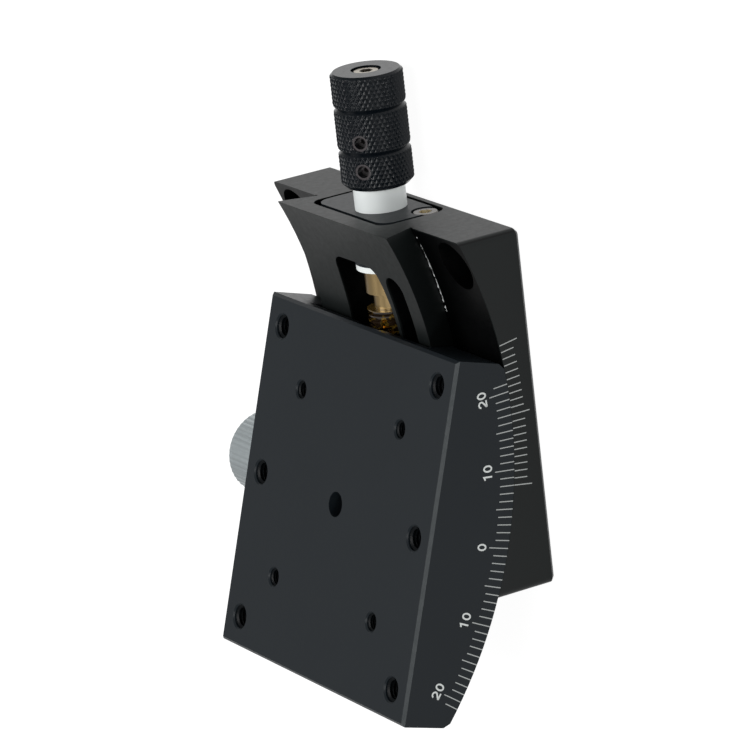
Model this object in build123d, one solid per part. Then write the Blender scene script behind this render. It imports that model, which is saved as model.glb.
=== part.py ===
from build123d import *
import os
from math import asin, cos, degrees, pi, radians, sin, sqrt, tan

# Manual goniometer stage, in millimetres, standing on its base.
# Origin: centre of the base's bottom face. +X runs along the worm shaft
# towards the drive knob, +Y towards the lock knob, +Z up through the platform.
# The platform tilts about an axis parallel to Y that floats above it.

# Main layout
ARC_RADIUS = 75.0             # sliding arc between base and stage
ARC_FLOOR = 5.0               # lowest point of the arc above the base's bottom face
PLATFORM_HEIGHT = 20.0        # platform face above the bottom face, at the scale's zero
BODY_LENGTH = 60.0            # base and platform along X
BODY_WIDTH = 60.0             # base and platform along Y
REST_TILT = 17.0              # scale reading at rest, degrees
TILT_LIMIT = 20.0             # travel each way from the scale's zero, degrees

# Curved dovetail
RAIL_HEIGHT = 5.5             # radial height of the rail above the sliding arc
RAIL_ROOT_WIDTH = 30.0
RAIL_SPREAD = 2.5             # each flank leans out this far at the rail's tip
RELIEF_WIDTH = 0.6            # undercut along each root of the rail
RELIEF_DEPTH = 0.2
SLIDE_GAP = 0.03              # film gap between sliding faces
CEILING_GAP = 0.7             # rail tip to the slot's ceiling
GIB_THICKNESS = 2.4           # across the slot, along Y
GIB_EDGE_GAP = 0.3            # gib to slot ceiling and to the base's shelf
GIB_END_INSET = 1.0           # gib short of the stage's end faces

# Worm and sector
WORM_HEIGHT = 7.75            # worm axis above the base's bottom face
PITCH_RISE = 6.6              # sector's pitch line above the sliding arc
MODULE = 0.3
PRESSURE_ANGLE = 20.0
ADDENDUM = 1.0                # in modules
DEDENDUM = 1.25               # in modules
ROOT_SINK = 0.08              # teeth and thread sunk into what carries them
FLANK_CLEARANCE = 0.025       # taken off each flank of worm and sector
SECTOR_WIDTH = 7.0
SECTOR_HALF_ANGLE = 21.6
SECTOR_THICKNESS = 2.4        # from the slot's ceiling to the sector's back
SECTOR_SEAT_GAP = 0.1         # groove wider than the sector, each side
FLANGE_OUTER = 8.2            # outer edge of the sector's screw flange
SECTOR_SCREW_Y = 6.3
SECTOR_SCREW_ANGLE = 12.0     # outer screws, each side of the middle one
SECTOR_SCREW_RADIUS = 1.0     # M2
SECTOR_SCREW_HEAD_RADIUS = 1.75
SECTOR_SCREW_LENGTH = 4.4
SECTOR_HEAD_SINK = 0.1        # head below the flange's face

# Worm and shaft, from the base's end face on the knob's side
SHOULDER_SETBACK = 10.0       # worm's thrust shoulder behind the end face
SHOULDER_LENGTH = 4.05
SHOULDER_RADIUS = 4.0
HUB_LENGTH = 2.75             # plain stretch in front of the thread
HUB_RADIUS = 2.9
THREAD_LENGTH = 23.7
SHAFT_RADIUS = 2.0
JOURNAL_RADIUS = 1.5          # reduced rear end of the shaft
JOURNAL_SETBACK = 0.3         # behind the worm
SHAFT_TAIL = 1.4              # shaft past the rear lug
SHAFT_SINK = 0.25             # shaft's front end below the knob's top
SHAFT_SOCKET_AF = 2.0         # hex socket in the shaft's front end
SHAFT_SOCKET_DEPTH = 2.2
RUNNING_GAP = 0.03            # radial clearance of turning fits
END_PLAY = 0.05               # axial clearance of the worm shaft
WORM_TOP_GAP = 0.1            # worm to the channel that passes over it
WORM_PIN_RADIUS = 0.6
WORM_PIN_INSET = 0.1          # pin's ends below the shoulder's surface
CLIP_RADIUS = 2.7             # retaining ring behind the rear bushing
CLIP_THICKNESS = 0.4
CLIP_GROOVE_RADIUS = 1.15
CLIP_MOUTH = 1.9              # opening of the ring

# Bushings and washer
FRONT_SLEEVE_RADIUS = 3.0
FRONT_FLANGE_RADIUS = 4.3
FRONT_FLANGE_LENGTH = 4.0
FRONT_FLANGE_CHAMFER = 0.3
REAR_BUSHING_RADIUS = 2.6
WASHER_RADIUS = 5.2
WASHER_THICKNESS = 1.0

# Worm carrier, an inset block with a cradle under the worm
POCKET_WIDTH = 23.4
POCKET_HEIGHT = 12.6
POCKET_SHIFT = 1.0            # pocket's middle from the worm axis, along Y
POCKET_RISE = 0.05            # and along Z
POCKET_DEPTH = 7.0            # from the end face
POCKET_CORNER = 2.2
CARRIER_GAP = 0.75            # open groove around the carrier's face
CARRIER_CORNER = 2.6
HUB_BOSS_RADIUS = 5.3
CHAMBER_RADIUS = 8.0          # round chamber along the worm
CHAMBER_RISE = 1.55           # chamber's centre above the worm axis
CHAMBER_SETBACK = 7.8         # where it breaks out of the rail's top, from the end face
CHAMBER_TAIL = 2.0            # chamber past the rear lug
CHAMBER_END_RADIUS = 1.8      # rounds the rim of its front end
ROOF_RISE = 5.5               # chamber's ceiling above the worm axis, near the pocket
CRADLE_GAP = 0.3              # cradle to chamber wall
CRADLE_DROP = 0.75            # cradle's rim below the worm axis
WORM_AIR = 0.25               # worm and washer to cradle
LUG_GAP = 0.5                 # rear lug behind the worm
LUG_LENGTH = 3.5
LUG_RISE = 3.15               # lug's top above the worm axis
CARRIER_SCREW_SPREAD = 9.2    # each screw from the pocket's middle, along Y
CARRIER_SCREW_DROP = 3.45     # below the worm axis
CARRIER_SCREW_RADIUS = 1.25   # M2.5
CARRIER_HOLE_RADIUS = 1.45
CARRIER_HEAD_RADIUS = 2.15
CARRIER_HEAD_LENGTH = 2.5
CARRIER_HEAD_CHAMFER = 0.2
CARRIER_SOCKET_AF = 2.0
CARRIER_SOCKET_DEPTH = 1.2
CARRIER_BORE_RADIUS = 2.35
CARRIER_BORE_DEPTH = 2.65
CARRIER_SCREW_LENGTH = 10.0
CARRIER_TAP_EXTRA = 1.0       # tapped hole past the screw's tip

# Side slot in the rail's top, beside the worm window
SIDE_SLOT_Y = -11.2
SIDE_SLOT_WIDTH = 5.0
SIDE_SLOT_SETBACK = 8.6       # its round end from the end face
SIDE_SLOT_DEPTH = 4.1         # below the rail's top

# Mounting holes
M4_INSET = 5.0                # outer holes from the sides of base and platform
M4_RADIUS = 2.0
M4_DEPTH = 8.0
M3_SPACING = 32.0
M3_RADIUS = 1.5
M3_DEPTH = 5.5
CENTRE_BORE_RADIUS = 2.1
TAP_MOUTH = 0.25              # countersink at the mouth of a tapped hole
BASE_HOLE_RADIUS = 2.25
BASE_COUNTERBORE_RADIUS = 4.2
BASE_COUNTERBORE_FLOOR = 4.4  # height of the screw seat above the bottom face

# Limit stop, under the stage on its scale side
STOP_PIN_RADIUS = 1.25
STOP_PIN_INSET = 7.0          # from the side face
STOP_PIN_RISE = 2.3           # pin's top above the sliding arc
STOP_PIN_SEAT = 1.0           # height of the pin's lower end
STOP_PIN_CHAMFER = 0.25
STOP_GROOVE_CLEARANCE = 0.3   # groove to pin, on top and at each side
STOP_OVERTRAVEL = 0.25        # past the stated limit before the pin touches, degrees

# Lock
LOCK_RISE = 2.8               # lock screw above the sliding arc
LOCK_STUD_RADIUS = 1.97       # M4
LOCK_GAP = 0.14               # pad to gib when released
LOCK_PAD_LENGTH = 2.4
LOCK_NECK_RADIUS = 4.2
LOCK_NECK_START = 0.5         # off the stage's side
LOCK_HEAD_RADIUS = 7.3
LOCK_HEAD_START = 6.8         # head off the stage's side
LOCK_HEAD_LENGTH = 8.4
LOCK_HEAD_CHAMFER = 0.7
LOCK_STUD_GRIP = 7.0          # stud inside the knob
GIB_SCREW_ANGLE = 14.5
GIB_SCREW_RADIUS = 1.5
GIB_SCREW_RECESS = 1.2
GIB_SCREW_SOCKET_AF = 1.5
GIB_SCREW_SOCKET_DEPTH = 1.5

# Drive knob
KNOB_RADIUS = 6.0
KNOB_LENGTH = 19.15
KNOB_BOTTOM_CHAMFER = 0.8
KNOB_TOP_CHAMFER = 0.5
KNOB_LOW_GROOVE = 6.15        # above the knob's bottom
KNOB_HIGH_GROOVE = 13.25
KNOB_GROOVE_WIDTH = 1.1
KNOB_GROOVE_DEPTH = 0.55
KNOB_TOP_BORE_RADIUS = 2.5
KNOB_TOP_BORE_DEPTH = 1.6
KNOB_LOW_GRUB = 3.4           # above the knob's bottom
KNOB_HIGH_GRUB = 8.2
KNOB_GRUB_ANGLE = 127.4       # about +X, from +Y
KNOB_GRUB_RADIUS = 1.0
KNOB_GRUB_LENGTH = 2.2
KNOB_GRUB_SOCKET_AF = 0.9
KNOB_GRUB_SOCKET_DEPTH = 1.2
KNOB_SPOT_RADIUS = 1.35
KNOB_SPOT_DEPTH = 0.3

# Edges
BASE_CORNER_RADIUS = 1.2
BASE_BOTTOM_CHAMFER = 0.6
STAGE_CHAMFER = 0.5
STAGE_TOE_CHAMFER = 0.85      # where the sliding arc meets the stage's end faces

# Cutting tools
OVERCUT = 1.0                 # past the surface that a tool opens
GIB_OVERCUT = 4.0             # past the gib's edges, where screws and pad end
SWEEP_MARGIN = 3.0            # past the end faces, degrees

# Worked out from the sizes above
HALF_X = BODY_LENGTH / 2
HALF_Y = BODY_WIDTH / 2
AXIS_HEIGHT = ARC_FLOOR + ARC_RADIUS
TILT_AXIS = Axis((0, 0, AXIS_HEIGHT), (0, 1, 0))
RAIL_TIP_RADIUS = ARC_RADIUS - RAIL_HEIGHT
CEILING_RADIUS = RAIL_TIP_RADIUS - CEILING_GAP
SIDE_SLOT_FLOOR = RAIL_TIP_RADIUS + SIDE_SLOT_DEPTH
FLANK_SLOPE = RAIL_SPREAD / RAIL_HEIGHT
SECTOR_TEETH_PER_TURN = round(2 * (ARC_RADIUS - PITCH_RISE) / MODULE)
SECTOR_PITCH_RADIUS = MODULE * SECTOR_TEETH_PER_TURN / 2
SECTOR_TIP_RADIUS = SECTOR_PITCH_RADIUS + ADDENDUM * MODULE
SECTOR_ROOT_RADIUS = SECTOR_PITCH_RADIUS - DEDENDUM * MODULE
SECTOR_BACK = CEILING_RADIUS - SECTOR_THICKNESS
SECTOR_SCREW_ANGLES = (-SECTOR_SCREW_ANGLE, 0.0, SECTOR_SCREW_ANGLE)
WORM_PITCH_RADIUS = AXIS_HEIGHT - SECTOR_PITCH_RADIUS - WORM_HEIGHT
WORM_TIP_RADIUS = WORM_PITCH_RADIUS + ADDENDUM * MODULE
WORM_ROOT_RADIUS = WORM_PITCH_RADIUS - DEDENDUM * MODULE
TOOTH_PITCH = pi * MODULE
TOOTH_ANGLE = 360 / SECTOR_TEETH_PER_TURN
LEAD_SLOPE = TOOTH_PITCH / (2 * pi * WORM_PITCH_RADIUS)
SHOULDER_FRONT = HALF_X - SHOULDER_SETBACK
SHOULDER_BACK = SHOULDER_FRONT - SHOULDER_LENGTH
WORM_FRONT = SHOULDER_BACK - HUB_LENGTH
WORM_BACK = WORM_FRONT - THREAD_LENGTH
JOURNAL_START = WORM_BACK - JOURNAL_SETBACK
REAR_LUG_FRONT = WORM_BACK - LUG_GAP
REAR_LUG_BACK = REAR_LUG_FRONT - LUG_LENGTH
REAR_LUG_TOP = WORM_HEIGHT + LUG_RISE
SHAFT_BACK = REAR_LUG_BACK - SHAFT_TAIL
WASHER_BACK = SHOULDER_FRONT + END_PLAY
HUB_BOSS_BACK = WASHER_BACK + WASHER_THICKNESS
BUSHING_BORE = SHAFT_RADIUS + RUNNING_GAP
POCKET_FLOOR = HALF_X - POCKET_DEPTH
CHAMBER_CENTRE_HEIGHT = WORM_HEIGHT + CHAMBER_RISE
CHAMBER_FRONT = HALF_X - CHAMBER_SETBACK
CHAMBER_BACK = REAR_LUG_BACK - CHAMBER_TAIL
CHAMBER_ROOF = WORM_HEIGHT + ROOF_RISE
CRADLE_TOP = WORM_HEIGHT - CRADLE_DROP
CARRIER_SCREW_Z = WORM_HEIGHT - CARRIER_SCREW_DROP
CARRIER_SCREW_YS = (POCKET_SHIFT - CARRIER_SCREW_SPREAD, POCKET_SHIFT + CARRIER_SCREW_SPREAD)
SIDE_SLOT_END = HALF_X - SIDE_SLOT_SETBACK
OUTER_HOLE_X = HALF_X - M4_INSET
OUTER_HOLE_Y = HALF_Y - M4_INSET
STOP_PIN_Y = STOP_PIN_INSET - HALF_Y
STOP_PIN_TOP_RADIUS = ARC_RADIUS - STOP_PIN_RISE
STOP_GROOVE_RADIUS = STOP_PIN_TOP_RADIUS - STOP_GROOVE_CLEARANCE
LOCK_ARC_RADIUS = ARC_RADIUS - LOCK_RISE
KNOB_BOTTOM = HALF_X + FRONT_FLANGE_LENGTH + END_PLAY
KNOB_TOP = KNOB_BOTTOM + KNOB_LENGTH
KNOB_GROOVES = (KNOB_BOTTOM + KNOB_LOW_GROOVE, KNOB_BOTTOM + KNOB_HIGH_GROOVE)
KNOB_GRUB_STATIONS = (KNOB_BOTTOM + KNOB_LOW_GRUB, KNOB_BOTTOM + KNOB_HIGH_GRUB)
SHAFT_FRONT = KNOB_TOP - SHAFT_SINK


def arc_height(radius, x):
    """Height, at station x, of the arc of this radius about the tilt axis."""
    return AXIS_HEIGHT - sqrt(radius ** 2 - x ** 2)


def flank(radius, offset=0.0):
    """Y of the rail's far flank at this radius, moved outwards by offset."""
    return RAIL_ROOT_WIDTH / 2 + (ARC_RADIUS - radius) * FLANK_SLOPE + offset


def tilt_ring(section, start, end):
    """Turn a section of (y, radius) points about the tilt axis between two
    angles, which count from straight down and grow towards +X."""
    points = [(0, y, AXIS_HEIGHT - radius) for y, radius in section]
    face = Face(Wire.make_polygon(points, close=True))
    face = face.rotate(TILT_AXIS, -start)
    return revolve(face, TILT_AXIS, revolution_arc=-(end - start))


def slab_ring(low_y, high_y, inner, outer, start, end):
    """Ring sector with a rectangular section."""
    section = [(low_y, inner), (high_y, inner), (high_y, outer), (low_y, outer)]
    return tilt_ring(section, start, end)


def tilt_drum(radius):
    """Solid cylinder about the tilt axis, wider than the bodies."""
    drum = Cylinder(radius, 2 * BODY_WIDTH, rotation=(90, 0, 0))
    return Pos(0, 0, AXIS_HEIGHT) * drum


def x_rod(radius, start, end, y=0.0, z=WORM_HEIGHT):
    """Round bar along X."""
    plane = Plane(origin=(start, y, z), x_dir=(0, 1, 0), z_dir=(1, 0, 0))
    return extrude(plane * Circle(radius), end - start)


def y_rod(radius, start, end, x=0.0, z=0.0):
    """Round bar along Y."""
    plane = Plane(origin=(x, start, z), x_dir=(1, 0, 0), z_dir=(0, 1, 0))
    return extrude(plane * Circle(radius), end - start)


def z_rod(radius, start, end, x=0.0, y=0.0):
    """Round bar along Z."""
    return extrude(Plane(origin=(x, y, start)) * Circle(radius), end - start)


def turned(profile):
    """Turn a profile of (station, radius) points about the worm axis."""
    points = [(station, 0, WORM_HEIGHT + radius) for station, radius in profile]
    face = Face(Wire.make_polygon(points, close=True))
    return revolve(face, Axis((0, 0, WORM_HEIGHT), (1, 0, 0)), revolution_arc=360)


def corners(x, y):
    """Places of the four corners of a rectangular hole pattern."""
    return [(i * x, j * y) for i in (-1, 1) for j in (-1, 1)]


def block(start, end, low, high, width=BODY_WIDTH):
    """Box between two stations along X and two heights, centred on Y."""
    box = Box(end - start, width, high - low)
    return Pos((start + end) / 2, 0, (low + high) / 2) * box


def hex_socket(origin, x_dir, way, across_flats, depth):
    """Hexagonal recess that goes in from a point along a direction."""
    plane = Plane(origin=origin, x_dir=x_dir, z_dir=way)
    return extrude(plane * RegularPolygon(across_flats / 2, 6, major_radius=False), depth)


def half_sweep(radius):
    """Angle that carries an arc of this radius just past the end faces."""
    return degrees(asin(HALF_X / radius)) + SWEEP_MARGIN


def at_rest(piece):
    """Turn a piece of the stage from the scale's zero to its place at rest."""
    return piece.rotate(TILT_AXIS, REST_TILT)


# Base body

def rail():
    """Curved dovetail rail, with flanks that lean outwards."""
    root = RAIL_ROOT_WIDTH / 2
    tip = flank(RAIL_TIP_RADIUS)
    sunk = ARC_RADIUS + OVERCUT
    section = [(-root, ARC_RADIUS), (-tip, RAIL_TIP_RADIUS), (tip, RAIL_TIP_RADIUS)]
    section += [(root, ARC_RADIUS), (root, sunk), (-root, sunk)]
    reach = half_sweep(RAIL_TIP_RADIUS)
    return tilt_ring(section, -reach, reach) & block(-HALF_X, HALF_X, 0, AXIS_HEIGHT / 2)


def pocket_section(inset, corner):
    """Outline of the carrier's pocket on its floor, made smaller by inset."""
    middle = (POCKET_FLOOR, POCKET_SHIFT, WORM_HEIGHT + POCKET_RISE)
    plane = Plane(origin=middle, x_dir=(0, 1, 0), z_dir=(1, 0, 0))
    return plane * RectangleRounded(POCKET_WIDTH - 2 * inset, POCKET_HEIGHT - 2 * inset, corner)


def worm_chamber():
    """Space for the worm: a round chamber that breaks out of the rail's top."""
    radius = CHAMBER_RADIUS
    height = CHAMBER_CENTRE_HEIGHT
    open_part = x_rod(radius, CHAMBER_BACK, CHAMBER_FRONT, z=height)
    open_part = fillet(open_part.faces().sort_by(Axis.X)[-1].edges(), CHAMBER_END_RADIUS)
    roofed = x_rod(radius, CHAMBER_FRONT - CHAMBER_END_RADIUS, POCKET_FLOOR, z=height)
    return open_part + (roofed & block(-HALF_X, HALF_X, 0, CHAMBER_ROOF))


def side_slot():
    """Round-ended slot beside the worm window, with a floor that follows the arc."""
    plan = SlotOverall(2 * SIDE_SLOT_END, SIDE_SLOT_WIDTH)
    column = extrude(Pos(0, SIDE_SLOT_Y, 0) * plan, AXIS_HEIGHT / 2)
    return column & tilt_drum(SIDE_SLOT_FLOOR)


def base_block():
    """Base with the rail, the worm chamber and the carrier's pocket."""
    body = block(-HALF_X, HALF_X, 0, arc_height(ARC_RADIUS, HALF_X))
    body = fillet(body.edges().filter_by(Axis.Z), BASE_CORNER_RADIUS)
    body = chamfer(body.faces().sort_by(Axis.Z)[0].edges(), BASE_BOTTOM_CHAMFER)
    body -= tilt_drum(ARC_RADIUS)
    reach = half_sweep(ARC_RADIUS)
    root = RAIL_ROOT_WIDTH / 2
    for side in (-1, 1):
        low, high = sorted((side * root, side * (root + RELIEF_WIDTH)))
        body -= slab_ring(low, high, ARC_RADIUS - OVERCUT, ARC_RADIUS + RELIEF_DEPTH, -reach, reach)
    body += rail()
    body -= extrude(pocket_section(0, POCKET_CORNER), POCKET_DEPTH)
    body -= worm_chamber()
    body -= side_slot()
    for x, y in corners(OUTER_HOLE_X, OUTER_HOLE_Y):
        body -= z_rod(BASE_HOLE_RADIUS, 0, AXIS_HEIGHT / 2, x, y)
        body -= z_rod(BASE_COUNTERBORE_RADIUS, BASE_COUNTERBORE_FLOOR, AXIS_HEIGHT / 2, x, y)
    for y in CARRIER_SCREW_YS:
        bottom = carrier_screw_tip() - CARRIER_TAP_EXTRA
        body -= x_rod(CARRIER_SCREW_RADIUS, bottom, POCKET_FLOOR, y, CARRIER_SCREW_Z)
    body -= z_rod(STOP_PIN_RADIUS, STOP_PIN_SEAT, AXIS_HEIGHT / 2, 0, STOP_PIN_Y)
    return body


def stop_pin():
    """Dowel that stops the stage at both ends of its travel."""
    top = AXIS_HEIGHT - STOP_PIN_TOP_RADIUS
    pin = z_rod(STOP_PIN_RADIUS, STOP_PIN_SEAT, top, 0, STOP_PIN_Y)
    return chamfer(pin.faces().sort_by(Axis.Z)[-1].edges(), STOP_PIN_CHAMFER)


def carrier_screw_tip():
    """Station of the carrier screws' inner ends."""
    return HALF_X - CARRIER_BORE_DEPTH - CARRIER_SCREW_LENGTH


def worm_carrier():
    """Inset block: flange, boss, cradle and rear bearing lug in one piece."""
    body = extrude(pocket_section(CARRIER_GAP, CARRIER_CORNER), POCKET_DEPTH)
    body += x_rod(HUB_BOSS_RADIUS, HUB_BOSS_BACK, POCKET_FLOOR + OVERCUT)
    radius = CHAMBER_RADIUS - CRADLE_GAP
    outer = x_rod(radius, REAR_LUG_BACK, POCKET_FLOOR, z=CHAMBER_CENTRE_HEIGHT)
    cradle = outer & block(REAR_LUG_BACK, POCKET_FLOOR, 0, CRADLE_TOP)
    cradle -= x_rod(WORM_TIP_RADIUS + WORM_AIR, REAR_LUG_FRONT, HUB_BOSS_BACK)
    cradle -= x_rod(WASHER_RADIUS + WORM_AIR, SHOULDER_BACK - WORM_AIR, HUB_BOSS_BACK)
    body += cradle
    body += outer & block(REAR_LUG_BACK, REAR_LUG_FRONT, 0, REAR_LUG_TOP)
    body -= x_rod(FRONT_SLEEVE_RADIUS, HUB_BOSS_BACK, HALF_X)
    body -= x_rod(REAR_BUSHING_RADIUS, REAR_LUG_BACK, REAR_LUG_FRONT)
    for y in CARRIER_SCREW_YS:
        body -= x_rod(CARRIER_HOLE_RADIUS, POCKET_FLOOR, HALF_X, y, CARRIER_SCREW_Z)
        body -= x_rod(CARRIER_BORE_RADIUS, HALF_X - CARRIER_BORE_DEPTH, HALF_X, y, CARRIER_SCREW_Z)
    return body


def carrier_screws():
    """Two socket-head screws that hold the carrier in its pocket."""
    seat = HALF_X - CARRIER_BORE_DEPTH
    screws = []
    for y in CARRIER_SCREW_YS:
        head = x_rod(CARRIER_HEAD_RADIUS, seat, seat + CARRIER_HEAD_LENGTH, y, CARRIER_SCREW_Z)
        head = chamfer(head.faces().sort_by(Axis.X)[-1].edges(), CARRIER_HEAD_CHAMFER)
        end = (seat + CARRIER_HEAD_LENGTH, y, CARRIER_SCREW_Z)
        head -= hex_socket(end, (0, 1, 0), (-1, 0, 0), CARRIER_SOCKET_AF, CARRIER_SOCKET_DEPTH)
        screws.append(head + x_rod(CARRIER_SCREW_RADIUS, carrier_screw_tip(), seat, y, CARRIER_SCREW_Z))
    return screws


def front_bushing():
    """Flanged plastic bushing between the carrier and the knob."""
    body = x_rod(FRONT_SLEEVE_RADIUS, HUB_BOSS_BACK, HALF_X)
    flange = x_rod(FRONT_FLANGE_RADIUS, HALF_X, HALF_X + FRONT_FLANGE_LENGTH)
    body += chamfer(flange.faces().sort_by(Axis.X)[-1].edges(), FRONT_FLANGE_CHAMFER)
    return body - x_rod(BUSHING_BORE, HUB_BOSS_BACK, HALF_X + FRONT_FLANGE_LENGTH)


def rear_bushing():
    """Plain bronze bushing in the carrier's rear lug."""
    body = x_rod(REAR_BUSHING_RADIUS, REAR_LUG_BACK, REAR_LUG_FRONT)
    return body - x_rod(JOURNAL_RADIUS + RUNNING_GAP, REAR_LUG_BACK, REAR_LUG_FRONT)


def thrust_washer():
    """Plastic washer between the worm's shoulder and the carrier's boss."""
    body = x_rod(WASHER_RADIUS, WASHER_BACK, HUB_BOSS_BACK)
    return body - x_rod(BUSHING_BORE, WASHER_BACK, HUB_BOSS_BACK)


# Stage body, drawn at the scale's zero and then turned to rest

def stage_slot():
    """Female dovetail, wider on the far side by the gib."""
    below = ARC_RADIUS + OVERCUT
    near = [(-flank(CEILING_RADIUS, SLIDE_GAP), CEILING_RADIUS), (-flank(below, SLIDE_GAP), below)]
    offset = SLIDE_GAP + GIB_THICKNESS
    far = [(flank(below, offset), below), (flank(CEILING_RADIUS, offset), CEILING_RADIUS)]
    reach = half_sweep(CEILING_RADIUS)
    return tilt_ring(near + far, -reach, reach)


def stop_groove():
    """Arc groove in the sliding face that the stop pin runs in."""
    half = STOP_PIN_RADIUS + STOP_GROOVE_CLEARANCE
    reach = TILT_LIMIT + STOP_OVERTRAVEL + degrees(asin(STOP_PIN_RADIUS / STOP_GROOVE_RADIUS))
    outer = ARC_RADIUS + OVERCUT
    return slab_ring(STOP_PIN_Y - half, STOP_PIN_Y + half, STOP_GROOVE_RADIUS, outer, -reach, reach)


def worm_channel():
    """Shallow channel along the slot's ceiling that lets the worm's top pass."""
    half = SECTOR_WIDTH / 2 + SECTOR_SEAT_GAP
    ceiling = AXIS_HEIGHT - WORM_HEIGHT - WORM_TIP_RADIUS - WORM_TOP_GAP
    reach = half_sweep(ceiling)
    return slab_ring(-half, half, ceiling, CEILING_RADIUS + OVERCUT, -reach, reach)


def sector_groove():
    """Groove in the slot's ceiling that the sector and its flange fill."""
    low = -SECTOR_WIDTH / 2 - SECTOR_SEAT_GAP
    high = FLANGE_OUTER + SECTOR_SEAT_GAP
    reach = SECTOR_HALF_ANGLE + degrees(SECTOR_SEAT_GAP / SECTOR_BACK)
    return slab_ring(low, high, SECTOR_BACK, CEILING_RADIUS + OVERCUT, -reach, reach)


def tapped_hole(radius, depth, x, y):
    """Blind hole from the platform's face, with a small countersink."""
    top = PLATFORM_HEIGHT
    hole = z_rod(radius, top - depth, top, x, y)
    mouth = Cone(radius, radius + TAP_MOUTH, TAP_MOUTH, align=(Align.CENTER, Align.CENTER, Align.MAX))
    return hole + Pos(x, y, top) * mouth


def radial_tool(profile, angle, y):
    """Turn (radius from the tilt axis, half width) points about the radial
    line that leaves the tilt axis at this angle, at this y."""
    points = [(half, y, AXIS_HEIGHT - radius) for radius, half in profile]
    face = Face(Wire.make_polygon(points, close=True))
    tool = revolve(face, Axis((0, y, 0), (0, 0, 1)), revolution_arc=360)
    return tool.rotate(TILT_AXIS, -angle)


def sector_screw_tool(angle):
    """Space of one countersunk sector screw."""
    shank = SECTOR_SCREW_RADIUS
    head = SECTOR_SCREW_HEAD_RADIUS
    face = CEILING_RADIUS - SECTOR_HEAD_SINK
    cone = face - (head - shank)
    tip = face - SECTOR_SCREW_LENGTH
    profile = [(face, 0), (face, head), (cone, shank), (tip, shank), (tip, 0)]
    return radial_tool(profile, angle, SECTOR_SCREW_Y)


def stage_block():
    """Platform and skirts in one block, with the curved dovetail slot."""
    body = block(-HALF_X, HALF_X, 0, PLATFORM_HEIGHT) & tilt_drum(ARC_RADIUS - SLIDE_GAP)
    toes = [e for e in body.edges().filter_by(Axis.Y) if e.center().Z < PLATFORM_HEIGHT - STAGE_CHAMFER]
    body = chamfer(toes, STAGE_TOE_CHAMFER)
    body = chamfer(body.faces().sort_by(Axis.Z)[-1].edges(), STAGE_CHAMFER)
    body -= stage_slot()
    body -= stop_groove()
    body -= sector_groove()
    body -= worm_channel()
    for angle in SECTOR_SCREW_ANGLES:
        body -= sector_screw_tool(angle)
    middles = [(0, -OUTER_HOLE_Y), (0, OUTER_HOLE_Y)]
    for x, y in corners(OUTER_HOLE_X, OUTER_HOLE_Y) + middles:
        body -= tapped_hole(M4_RADIUS, M4_DEPTH, x, y)
    for x, y in corners(M3_SPACING / 2, M3_SPACING / 2):
        body -= tapped_hole(M3_RADIUS, M3_DEPTH, x, y)
    body -= z_rod(CENTRE_BORE_RADIUS, AXIS_HEIGHT - SECTOR_BACK, PLATFORM_HEIGHT)
    body -= lock_rod(M4_RADIUS, RAIL_ROOT_WIDTH / 2, HALF_Y)
    for side in (-1, 1):
        bore = lock_rod(GIB_SCREW_RADIUS, RAIL_ROOT_WIDTH / 2, HALF_Y)
        body -= bore.rotate(TILT_AXIS, -side * GIB_SCREW_ANGLE)
    return at_rest(body)


def gib():
    """Curved wedge-sided strip on the slot's far side, short of its ends."""
    inner = CEILING_RADIUS + GIB_EDGE_GAP
    outer = ARC_RADIUS - GIB_EDGE_GAP
    near = SLIDE_GAP
    far = SLIDE_GAP + GIB_THICKNESS
    section = [(flank(inner, near), inner), (flank(inner, far), inner)]
    section += [(flank(outer, far), outer), (flank(outer, near), outer)]
    reach = half_sweep(CEILING_RADIUS)
    end = HALF_X - GIB_END_INSET
    return at_rest(tilt_ring(section, -reach, reach) & block(-end, end, 0, PLATFORM_HEIGHT))


def behind_gib(clear):
    """Everything on the near side of the gib's outer flank, moved out by clear."""
    inner = CEILING_RADIUS - GIB_OVERCUT
    outer = ARC_RADIUS + GIB_OVERCUT
    far = SLIDE_GAP + GIB_THICKNESS + clear
    section = [(0, inner), (flank(inner, far), inner), (flank(outer, far), outer), (0, outer)]
    reach = half_sweep(CEILING_RADIUS)
    return tilt_ring(section, -reach, reach)


def gib_screws():
    """Two set screws that press the gib against the rail."""
    screws = []
    end = HALF_Y - GIB_SCREW_RECESS
    mouth = (0, end, AXIS_HEIGHT - LOCK_ARC_RADIUS)
    for side in (-1, 1):
        rod = lock_rod(GIB_SCREW_RADIUS, RAIL_ROOT_WIDTH / 2, end) - behind_gib(0)
        rod -= hex_socket(mouth, (1, 0, 0), (0, -1, 0), GIB_SCREW_SOCKET_AF, GIB_SCREW_SOCKET_DEPTH)
        screws.append(at_rest(rod.rotate(TILT_AXIS, -side * GIB_SCREW_ANGLE)))
    return screws


def sector_tooth():
    """One tooth at the bottom of the sector, leaning with the worm's lead."""
    half_pitch = TOOTH_PITCH / 4 - FLANK_CLEARANCE
    lean = tan(radians(PRESSURE_ANGLE))
    tip = half_pitch - ADDENDUM * MODULE * lean
    root_depth = DEDENDUM * MODULE + ROOT_SINK
    root = half_pitch + root_depth * lean
    shift = LEAD_SLOPE * SECTOR_WIDTH / 2
    low = AXIS_HEIGHT - SECTOR_TIP_RADIUS
    high = AXIS_HEIGHT - SECTOR_PITCH_RADIUS + root_depth
    y = -SECTOR_WIDTH / 2
    points = [(shift - tip, y, low), (shift + tip, y, low)]
    points += [(shift + root, y, high), (shift - root, y, high)]
    face = Face(Wire.make_polygon(points, close=True))
    return Solid.extrude(face, Vector(-2 * shift, SECTOR_WIDTH, 0))


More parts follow.
